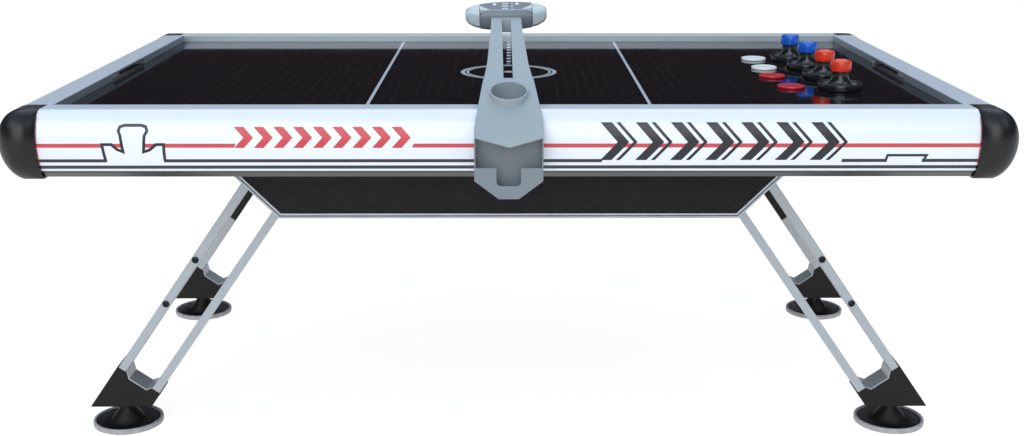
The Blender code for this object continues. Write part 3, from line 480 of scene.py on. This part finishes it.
def stroke(points, width, closed=False):
    """Quads along a path, mitred at its corners."""
    path = [Vector(p) for p in points]
    count = len(path)
    sides = []
    for k, here in enumerate(path):
        before = path[k - 1] if k or closed else None
        after = path[(k + 1) % count] if k + 1 < count or closed else None
        ways = [(b - a).normalized() for a, b in ((before, here), (here, after))
                if a is not None and b is not None]
        normals = [Vector((-way.y, way.x)) for way in ways]
        mitre = sum(normals, Vector((0, 0))).normalized()
        reach = width / 2 / max(0.45, mitre.dot(normals[0]))
        sides.append((here + mitre * reach, here - mitre * reach))
    spans = range(count if closed else count - 1)
    return [(sides[k][0], sides[(k + 1) % count][0], sides[(k + 1) % count][1], sides[k][1]) for k in spans]


def chevron(x, low, high, width, lean):
    """The two halves of an arrow-shaped bar that points to the right."""
    middle = (low + high) / 2
    return [[(x, low), (x + width, low), (x + width + lean, middle), (x + lean, middle)],
            [(x + lean, middle), (x + width + lean, middle), (x + width, high), (x, high)]]


FILL_LIFT = 0.00012     # ink films stand this far off the laminate, outlines above fills
LINE_LIFT = 0.00024


def build_prints():
    striker = [(-0.8475, 0.7086), (-0.8515, 0.7450), (-0.8320, 0.7450), (-0.8210, 0.7345), (-0.8085, 0.7290),
               (-0.8124, 0.7630), (-0.8160, 0.7735), (-0.8125, 0.7818), (-0.8030, 0.7846), (-0.7690, 0.7846),
               (-0.7590, 0.7818), (-0.7560, 0.7735), (-0.7620, 0.7630), (-0.7655, 0.7290), (-0.7530, 0.7330),
               (-0.7380, 0.7450), (-0.7225, 0.7450), (-0.7230, 0.7086)]
    print_figure("print_striker_fill", [striker], WHITE_INK, FILL_LIFT)
    print_figure("print_striker_line", stroke(striker, 0.0062), BLACK_INK, LINE_LIFT)
    gap = [(-0.8450, 0.7040), (-0.7255, 0.7040), (-0.7255, 0.7132), (-0.8450, 0.7132)]
    print_figure("print_striker_gap", [gap], WHITE_INK, FILL_LIFT)
    puck = [(0.7935, 0.7086), (0.7962, 0.7208), (0.8782, 0.7208), (0.8730, 0.7086)]
    puck_gap = [(0.7965, 0.7040), (0.8700, 0.7040), (0.8700, 0.7132), (0.7965, 0.7132)]
    print_figure("print_puck_gap", [puck_gap], WHITE_INK, FILL_LIFT)
    print_figure("print_puck_line", stroke(puck, 0.0055), BLACK_INK, LINE_LIFT)

    red_band = [(-0.5770, 0.7350), (-0.2045, 0.7350), (-0.1980, 0.7490), (-0.5700, 0.7490)]
    print_figure("print_red_fill", [red_band], WHITE_INK, FILL_LIFT)
    red = [half for k in range(9) for half in chevron(-0.5750 + 0.0412 * k, 0.7376, 0.7815, 0.0205, 0.0200)]
    print_figure("print_red_chevrons", red, RED_INK, LINE_LIFT)
    black_band = [(0.1960, 0.7030), (0.7000, 0.7030), (0.7020, 0.7132), (0.1970, 0.7132)]
    print_figure("print_black_fill", [black_band], WHITE_INK, FILL_LIFT)
    black = []
    for k in range(7):
        x = 0.1920 + 0.0735 * k
        black += chevron(x, 0.7100, 0.7900, 0.0240, 0.0360)
        black += chevron(x + 0.0330, 0.7100, 0.7900, 0.0085, 0.0360)
    print_figure("print_black_chevrons", black, BLACK_INK, LINE_LIFT)

    for name, side in (("left", -1), ("right", 1)):
        border = [(side * 0.9884, 0.7000), (side * 0.9884, 0.8000)]
        print_figure("print_border_" + name, stroke(border, 0.0017), RED_INK, FILL_LIFT)


build_prints()


# ---- Corner caps ---------------------------------------------------------------------------------
# Four thick shells of black ABS that close the corners: moulded, satin, a little proud of the rails
# and held from below, so no screw shows.
CAP_SEAM = 0.011
CAP_RADIUS = 0.052
CAP_PROUD = 0.007
CAP_WALL = 0.004


def moulded_cap_plastic():
    material, tree, shader = new_material("satin_black_abs", "#0f1012", 0.34, ior=1.42)
    mottle(tree, shader, ("#0e0f11", "#111215"), 0.0009, (0.31, 0.38), 0.00004)
    return material


def cap_row(offset, side_x, side_y, height):
    corner_x = WALL_X + max(offset, CAP_SEAM)
    corner_y = WALL_Y + offset
    radius = max(offset - CAP_RADIUS, 0.0)
    row = [(WALL_X + CAP_SEAM, corner_y)]
    for k in range(17):
        turn = math.radians(-90 + 90 * k / 16)
        row.append((corner_x - radius + radius * math.cos(turn), corner_y - radius - radius * math.sin(turn)))
    row.append((corner_x, WALL_Y))
    return [(side_x * x, TABLE_Y + side_y * y, RAIL_TOP + height) for x, y in row]


def build_caps():
    plastic = moulded_cap_plastic()
    levels = [(CAP_SEAM, 0.0)] + rail_face(16, CAP_PROUD)
    levels += [(0.062, -RAIL_DEPTH - 0.0025), (0.060, -RAIL_DEPTH - CAP_WALL), (0.016, -RAIL_DEPTH - CAP_WALL)]
    for name_y, side_y in (("front", -1), ("rear", 1)):
        for name_x, side_x in (("left", -1), ("right", 1)):
            bm = bmesh.new()
            rows = [[bm.verts.new(p) for p in cap_row(u, side_x, side_y, w)] for u, w in levels]
            for upper, lower in zip(rows, rows[1:]):
                for k in range(len(upper) - 1):
                    bm.faces.new((upper[k], upper[k + 1], lower[k + 1], lower[k]))
            bmesh.ops.remove_doubles(bm, verts=bm.verts, dist=0.00002)
            bmesh.ops.dissolve_degenerate(bm, edges=bm.edges, dist=0.00001)
            if side_x * side_y < 0:
                bmesh.ops.reverse_faces(bm, faces=bm.faces)
            mesh = bpy.data.meshes.new("cap")
            bm.to_mesh(mesh)
            bm.free()
            tag = name_y + "_" + name_x
            cap = new_piece("cap_" + tag, mesh, plastic, "table", ("corner_cap_" + tag,), 40)
            shell = cap.modifiers.new("wall", "SOLIDIFY")
            shell.thickness = CAP_WALL
            shell.offset = -1.0


build_caps()


# ---- Cabinet -------------------------------------------------------------------------------------
# A box of black laminated board under the air chamber, framed on both faces by a grooved silver
# extrusion and closed with black screws near its lower corners. The groove is a thin darker strip laid
# on the trim's face, painted shadow.
def leatherette_board():
    material, tree, shader = new_material("black_laminated_board", "#19181c", 0.5, ior=1.25)
    mottle(tree, shader, ("#17161a", "#1c1b1f"), 0.0022, (0.44, 0.58), 0.00015)
    return material


def black_powder_coat():
    material, tree, shader = new_material("black_powder_coat", "#1b1817", 0.42, ior=1.28)
    mottle(tree, shader, ("#181514", "#1e1b1a"), 0.0011, (0.38, 0.48), 0.00006)
    return material


BOARD_BLACK = leatherette_board()
POWDER_BLACK = black_powder_coat()
TRIM_SILVER = anodised("anodised_trim", "#b0b8be", "#a7afb6", (0.2, 1, 1), 0.60)
# painted shadow: a darker copy of the trim's anodised silver, laid as a thin strip where the groove's shade
# falls
GROOVE_PAINTED_SHADOW = anodised("groove_shadow", "#828b92", "#7b848b", (0.2, 1, 1), 0.60)


def build_cabinet():
    for name in ("front", "rear"):
        finished("panel_" + name, "cabinet_panel_" + name, BOARD_BLACK, "table", edge=0.0005)
        finished("trim_" + name, "cabinet_trim_" + name, TRIM_SILVER, "table", edge=0.0012)
    finished("cabinet_base", "cabinet_floor", BOARD_BLACK, "table", edge=0.0006)
    for name in ("left", "right"):
        finished("end_frame_" + name, "leg_mount_" + name, POWDER_BLACK, "table", edge=0.0008)
    low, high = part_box("cabinet_trim_front")
    half_top = high.x
    half_low = half_top - (high.z - low.z)
    middle = 0.0060
    shift = middle * math.tan(math.radians(22.5))
    slant = middle * math.sqrt(2)
    path = [(-half_top + slant, high.z), (-half_low + shift, low.z + middle),
            (half_low - shift, low.z + middle), (half_top - slant, high.z)]
    # the groove is drawn as a thin strip of painted shadow on each face of the trim
    for name, y in (("front", low.y - 0.00015), ("rear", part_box("cabinet_trim_rear")[1].y + 0.00015)):
        bm = bmesh.new()
        for quad in stroke(path, 0.0022):
            bm.faces.new([bm.verts.new((x, y, z)) for x, z in quad])
        bmesh.ops.solidify(bm, geom=bm.faces[:], thickness=0.0001)
        new_piece("trim_groove_" + name, mesh_of(bm, "groove"), GROOVE_PAINTED_SHADOW, "table", smooth=0)


build_cabinet()


def turned(profile, steps):
    """Spins (radius, height) points about Z."""
    bm = bmesh.new()
    verts = [bm.verts.new((radius, 0.0, height)) for radius, height in profile]
    edges = [bm.edges.new(pair) for pair in zip(verts, verts[1:])]
    bmesh.ops.spin(bm, geom=verts + edges, cent=(0, 0, 0), axis=(0, 0, 1), angle=2 * math.pi,
                   steps=steps, use_merge=True)
    bmesh.ops.remove_doubles(bm, verts=bm.verts, dist=0.00002)
    return bm


def screw_head(radius, height, socket):
    """A low domed head with a round driver recess."""
    dome = [(radius * math.cos(math.radians(a)), height * (0.35 + 0.65 * math.sin(math.radians(a))))
            for a in range(0, 61, 15)]
    profile = [(0.0, 0.0), (radius, 0.0)] + dome
    profile += [(socket, height), (socket * 0.9, height * 0.4), (0.0, height * 0.35)]
    return turned(profile, 20)


def build_panel_screws():
    black_steel, tree, shader = new_material("blackened_steel", "#2a2b2e", 0.38, metallic=1.0)
    mottle(tree, shader, ("#242528", "#34363a"), 0.001, (0.3, 0.45), 0.00003)
    for name, side in (("front", -1), ("rear", 1)):
        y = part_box("cabinet_panel_" + name)[0 if side < 0 else 1].y
        for k, (x, z) in enumerate(((-0.520, 0.551), (0.520, 0.551), (-0.560, 0.672), (0.560, 0.672))):
            bm = screw_head(0.0042, 0.0016, 0.0016)
            turn = Matrix.Rotation(math.radians(90 if side < 0 else -90), 4, "X")
            bmesh.ops.transform(bm, matrix=Matrix.Translation((x, y, z)) @ turn, verts=bm.verts)
            new_piece("panel_screw_%s_%d" % (name, k + 1), mesh_of(bm, "screw"), black_steel, "table")
    return black_steel


BLACK_STEEL = build_panel_screws()


# ---- Legs ----------------------------------------------------------------------------------------
# Each leg is two rectangular steel tubes in silver powder coat, welded to a crossbar, bolted to the
# end frame's strap and set in a folded black steel bracket over a screw-in levelling foot.
LEG_LEAN = math.radians(35)
LEG_END = (0.9218, 0.1473)
LEG_Y = 0.415
LEG_FACE = 0.035


def leg_point(side, along, across):
    x = LEG_END[0] - math.sin(LEG_LEAN) * along - math.cos(LEG_LEAN) * across
    z = LEG_END[1] + math.cos(LEG_LEAN) * along - math.sin(LEG_LEAN) * across
    return side * x, z


def silver_powder_coat():
    material, tree, shader = new_material("silver_powder_coat", "#a3aaaf", 0.40, metallic=0.40)
    mottle(tree, shader, ("#a1a8ad", "#a5acb1"), 0.0008, (0.37, 0.45), 0.00003)
    return material


def build_legs():
    silver = silver_powder_coat()
    for name_x, side in (("left", -1), ("right", 1)):
        for name_y, side_y in (("front", -1), ("rear", 1)):
            tag = name_y + "_" + name_x
            finished("outer_tube_" + tag, "leg_outer_tube_" + tag, silver, "table", edge=0.0014)
            finished("inner_tube_" + tag, "leg_inner_tube_" + tag, silver, "table", edge=0.0012)
            finished("bracket_" + tag, "foot_bracket_" + tag, POWDER_BLACK, "table",
                     edge=0.0008)
            face_y = TABLE_Y + side_y * (LEG_Y + LEG_FACE)
            for k, along in enumerate((0.3327, 0.2010)):
                x, z = leg_point(side, along, 0.0)
                bm = screw_head(0.0082, 0.0034, 0.0034)
                turn = Matrix.Rotation(math.radians(-90 * side_y), 4, "X")
                bmesh.ops.transform(bm, matrix=Matrix.Translation((x, face_y, z)) @ turn, verts=bm.verts)
                new_piece("leg_bolt_%s_%d" % (tag, k + 1), mesh_of(bm, "bolt"), BLACK_STEEL, "table")


build_legs()


# ---- Levelling feet ------------------------------------------------------------------------------
# A moulded black dish with a pale rubber rim ring; its hub rises round the stud into the bracket.
def build_feet():
    dish, tree, shader = new_material("black_foot_moulding", "#121011", 0.50, ior=1.33)
    mottle(tree, shader, ("#110f10", "#141213"), 0.0012, (0.46, 0.54), 0.00004)
    rim, tree, shader = new_material("grey_rubber_rim", "#9b9b9d", 0.6, ior=1.5)
    mottle(tree, shader, ("#929294", "#a5a5a7"), 0.0014, (0.52, 0.68), 0.0001)
    foot_x = 0.925
    for name_y, side_y in (("front", -1), ("rear", 1)):
        for name_x, side_x in (("left", -1), ("right", 1)):
            tag = name_y + "_" + name_x
            body = "levelling_foot_" + tag
            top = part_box("foot_" + tag)[1].z
            at = Matrix.Translation((side_x * foot_x, TABLE_Y + side_y * LEG_Y, 0))
            bowl = [(0.0, 0.0012), (0.0760, 0.0012), (0.0765, 0.0050), (0.0745, 0.0088), (0.0715, 0.0076),
                    (0.0640, 0.0070), (0.0500, 0.0080), (0.0445, 0.0102), (0.0395, 0.0142), (0.0345, 0.0202),
                    (0.0290, 0.0268), (0.0235, 0.0338), (0.0198, 0.0402), (0.0180, 0.0455), (0.0175, top),
                    (0.0, top)]
            bm = turned(bowl, 56)
            bmesh.ops.transform(bm, matrix=at, verts=bm.verts)
            new_piece("foot_dish_" + tag, mesh_of(bm, "dish"), dish, body, ("foot_" + tag,), 32)
            ring = [(0.0762, 0.0000), (0.0812, 0.0000), (0.0822, 0.0008), (0.0826, 0.0022), (0.0826, 0.0102),
                    (0.0820, 0.0120), (0.0806, 0.0130), (0.0782, 0.0130), (0.0764, 0.0122), (0.0757, 0.0106),
                    (0.0757, 0.0006), (0.0762, 0.0000)]
            bm = turned(ring, 56)
            bmesh.ops.transform(bm, matrix=at, verts=bm.verts)
            new_piece("foot_rim_" + tag, mesh_of(bm, "rim"), rim, body, (), 40)


build_feet()


# ---- Blower, inlet and switch --------------------------------------------------------------------
# A moulded drum with a paddle wheel hung from its motor blows up into the chamber; mains comes in at
# the rear panel beside a rocker switch.
def build_blower():
    moulding, tree, shader = new_material("glass_filled_nylon", "#26272a", 0.5, ior=1.53)
    mottle(tree, shader, ("#222326", "#2c2d31"), 0.0015, (0.42, 0.58), 0.0001)
    finished("blower_drum", "fan_housing", moulding, "table", edge=0.0006)
    finished("blower_wheel", "fan_impeller", moulding, "fan_wheel", edge=0.0004)
    finished("blower_motor", "fan_motor", BLACK_STEEL, "table", edge=0.0006)
    finished("mains_inlet", "power_inlet", moulding, "table", edge=0.0007)
    finished("rocker", "power_switch", moulding, "power_rocker", edge=0.0006)
    low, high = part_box("power_inlet")
    brass, tree, shader = new_material("plated_brass", "#c9b27a", 0.3, metallic=1.0)
    mottle(tree, shader, ("#bfa86f", "#d2bc86"), 0.001, (0.25, 0.36), 0.00002)
    centre_x = (low.x + high.x) / 2
    centre_z = (low.z + high.z) / 2
    for k, dx in enumerate((-0.0070, 0.0, 0.0070)):
        points = [(centre_x + dx - 0.0011, 0.4525 + TABLE_Y, centre_z - 0.0025),
                  (centre_x + dx + 0.0011, 0.4525 + TABLE_Y, centre_z - 0.0025),
                  (centre_x + dx + 0.0011, 0.4525 + TABLE_Y, centre_z + 0.0025),
                  (centre_x + dx - 0.0011, 0.4525 + TABLE_Y, centre_z + 0.0025)]
        bm = extrude_outline(points, (0, 0.0125, 0))
        bmesh.ops.bevel(bm, geom=bm.edges[:], offset=0.0004, segments=2, affect="EDGES", profile=0.5)
        new_piece("inlet_pin_%d" % (k + 1), mesh_of(bm, "pin"), brass, "table")


build_blower()


# ---- Scorer --------------------------------------------------------------------------------------
# A cantilevered arm moulded in silver-grey ABS: hood and puck cup over the rail, a long slot, and the
# counter's head at its end with two pale side windows. A puck bin hangs under the hood. The bin and the
# counter's case take a darker copy of the grey, which is painted shade for the shade they sit in.
ARM_ANGLE = math.radians(20)
ARM_TIP = Vector((0.0, TABLE_Y - 0.307, 0.9665))
HEAD_TOP = 0.0115


def moulded_grey(name, light, dark, roughness):
    material, tree, shader = new_material(name, light, roughness, ior=1.46)
    mottle(tree, shader, (dark, light), 0.0010, (roughness - 0.05, roughness + 0.07), 0.00008)
    return material


def head_matrix():
    """The counter's own axes: the scorer stands one degree askew and its head is rolled a little."""
    pivot = Vector((0.0, TABLE_Y - 0.640, 0.0))
    turn = Matrix.Translation(pivot) @ Matrix.Rotation(math.radians(1.0), 4, "Z") @ Matrix.Translation(-pivot)
    tilt = Matrix.Rotation(ARM_ANGLE, 4, "X") @ Matrix.Rotation(math.radians(-1.6), 4, "Y")
    return turn @ Matrix.Translation(ARM_TIP) @ tilt


def flat_mark(name, outline, height, material, body="table"):
    """A printed mark on the counter's top face, given in the head's own plane."""
    bm = extrude_outline([(x, y, height) for x, y in outline], (0, 0, 0.00018))
    bmesh.ops.transform(bm, matrix=head_matrix(), verts=bm.verts)
    return new_piece(name, mesh_of(bm, name), material, body, smooth=0)


def with_button_holes(mesh, material):
    """The label film with a round hole over each button's seat."""
    for name in ("left", "right"):
        low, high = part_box("scorer_button_" + name)
        centre = head_matrix().inverted() @ ((low + high) / 2)
        circle = arc(centre.xy, 0.0050, 0.0050, 0, 345, 23)
        tool = extrude_outline([(x, y, HEAD_TOP - 0.001) for x, y in circle], (0, 0, 0.003))
        bmesh.ops.transform(tool, matrix=head_matrix(), verts=tool.verts)
        mesh = cut_away(mesh, mesh_of(tool, "tool"))
    mesh.materials.clear()
    mesh.materials.append(material)
    return mesh


def build_scorer():
    grey = moulded_grey("silver_grey_abs", "#97a2a8", "#95a0a6", 0.42)
    # painted shade: a darker copy of the silver-grey ABS, for the shade under the hood and on the head's front
    painted_shade_grey = moulded_grey("grey_abs_painted_shade", "#747e85", "#727c83", 0.45)
    dark = moulded_grey("dark_grey_label_film", "#6a6e76", "#686c74", 0.38)
    pale = moulded_grey("pale_polycarbonate", "#bccad0", "#b8c6cc", 0.20)
    finished("arm_shell", "scorer_arm", grey, "table", edge=0.0035, segments=4)
    # the bin and the counter's case wear the darker grey, painted shade
    finished("puck_bin", "scorer_bin", painted_shade_grey, "table", edge=0.0009)
    finished("counter_case", "scorer_head", painted_shade_grey, "table", edge=0.0022, segments=3)
    finished("counter_lid", "scorer_cover", pale, "table", edge=0.0014)
    for name in ("left", "right"):
        finished("counter_window_" + name, "scorer_window_" + name, pale, "table", edge=0.0022,
                 segments=3)
        finished("counter_button_" + name, "scorer_button_" + name, WHITE_INK, "score_button_" + name,
                 edge=0.0007)
    front = [(-0.0365, 0.0190), (-0.0200, 0.0178), (0.0200, 0.0178), (0.0365, 0.0190)]
    back = [(0.0600, 0.0400), (0.0600, 0.0505), (0.0450, 0.0538), (0.0250, 0.0567), (0.0, 0.0580)]
    outline = front + back + [(-x, y) for x, y in reversed(back[:-1])]
    film = flat_mark("counter_label", outline, HEAD_TOP, dark)
    film.data = with_button_holes(film.data, dark)
    for k, y in enumerate((0.0225, 0.0350, 0.0475)):
        dash = [(-0.0090, y), (0.0055, y), (0.0055, y + 0.0036), (-0.0090, y + 0.0036)]
        flat_mark("counter_dash_%d" % (k + 1), dash, HEAD_TOP + 0.0002, WHITE_INK)
        dot = arc((0.0145, y + 0.0018), 0.0018, 0.0018, 0, 330, 11)
        flat_mark("counter_dot_%d" % (k + 1), dot, HEAD_TOP + 0.0002, WHITE_INK)


build_scorer()


# ---- Mallets and pucks ---------------------------------------------------------------------------
# Turned-looking strikers moulded in gloss black, each with a pressed coloured cap on its knob, and
# thin moulded pucks with a raised rim: two white, two red.
def gloss_plastic(name, colour, dark, roughness):
    material, tree, shader = new_material(name, colour, roughness, ior=1.49)
    mottle(tree, shader, (dark, colour), 0.0016, (roughness - 0.04, roughness + 0.06), 0.00003)
    return material


def build_strikers():
    black = gloss_plastic("gloss_black_striker", "#1d1e20", "#1a1b1d", 0.18)
    caps = {"blue": gloss_plastic("gloss_blue_cap", "#0f5ccb", "#0c56c0", 0.20),
            "red": gloss_plastic("gloss_red_cap", "#e23a20", "#d9351c", 0.20)}
    for k in range(1, 5):
        low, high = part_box("mallet_%d" % k)
        at = Matrix.Translation(((low.x + high.x) / 2, (low.y + high.y) / 2, low.z))
        base = [(0.0, 0.0), (0.0500, 0.0), (0.0514, 0.0008), (0.0520, 0.0022), (0.0520, 0.0132),
                (0.0514, 0.0152), (0.0500, 0.0163), (0.0482, 0.0164), (0.0466, 0.0154),
                (0.0450, 0.0126), (0.0430, 0.0110),
                (0.0385, 0.0102), (0.0330, 0.0104), (0.0285, 0.0128), (0.0250, 0.0170), (0.0224, 0.0225),
                (0.0208, 0.0290), (0.0200, 0.0380), (0.0200, 0.0430), (0.0, 0.0430)]
        bm = turned(base, 48)
        bmesh.ops.transform(bm, matrix=at, verts=bm.verts)
        new_piece("striker_base_%d" % k, mesh_of(bm, "base"), black, "striker_%d" % k,
                  ("mallet_%d" % k,), 30)
        knob = [(0.0, 0.0430), (0.0212, 0.0430), (0.0232, 0.0436), (0.0244, 0.0450), (0.0249, 0.0480),
                (0.0246, 0.0540), (0.0247, 0.0600), (0.0244, 0.0640), (0.0234, 0.0672), (0.0214, 0.0693),
                (0.0188, 0.0700), (0.0160, 0.0694), (0.0120, 0.0672), (0.0070, 0.0660), (0.0, 0.0656)]
        bm = turned(knob, 48)
        bmesh.ops.transform(bm, matrix=at, verts=bm.verts)
        colour = "red" if k < 3 else "blue"
        new_piece("striker_cap_%d" % k, mesh_of(bm, "cap"), caps[colour], "striker_%d" % k, (), 40)


def build_pucks():
    kinds = {"red": gloss_plastic("red_puck_moulding", "#c4202c", "#b81c28", 0.26),
             "white": gloss_plastic("white_puck_moulding", "#f6f8f9", "#f2f5f7", 0.22)}
    for k in range(1, 5):
        low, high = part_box("puck_%d" % k)
        at = Matrix.Translation(((low.x + high.x) / 2, (low.y + high.y) / 2, low.z))
        r = (high.x - low.x) / 2
        h = high.z - low.z
        half = [(0.0, 0.0008), (r - 0.0075, 0.0008), (r - 0.0066, 0.0), (r - 0.0012, 0.0),
                (r - 0.0003, 0.0004), (r, 0.0013)]
        profile = half + [(radius, h - height) for radius, height in reversed(half)]
        bm = turned(profile, 56)
        bmesh.ops.transform(bm, matrix=at, verts=bm.verts)
        colour = "red" if k < 3 else "white"
        new_piece("disc_%s_%d" % (colour, k), mesh_of(bm, "disc"), kinds[colour], "disc_%d" % k,
                  ("puck_%d" % k,), 40)


build_strikers()
build_pucks()
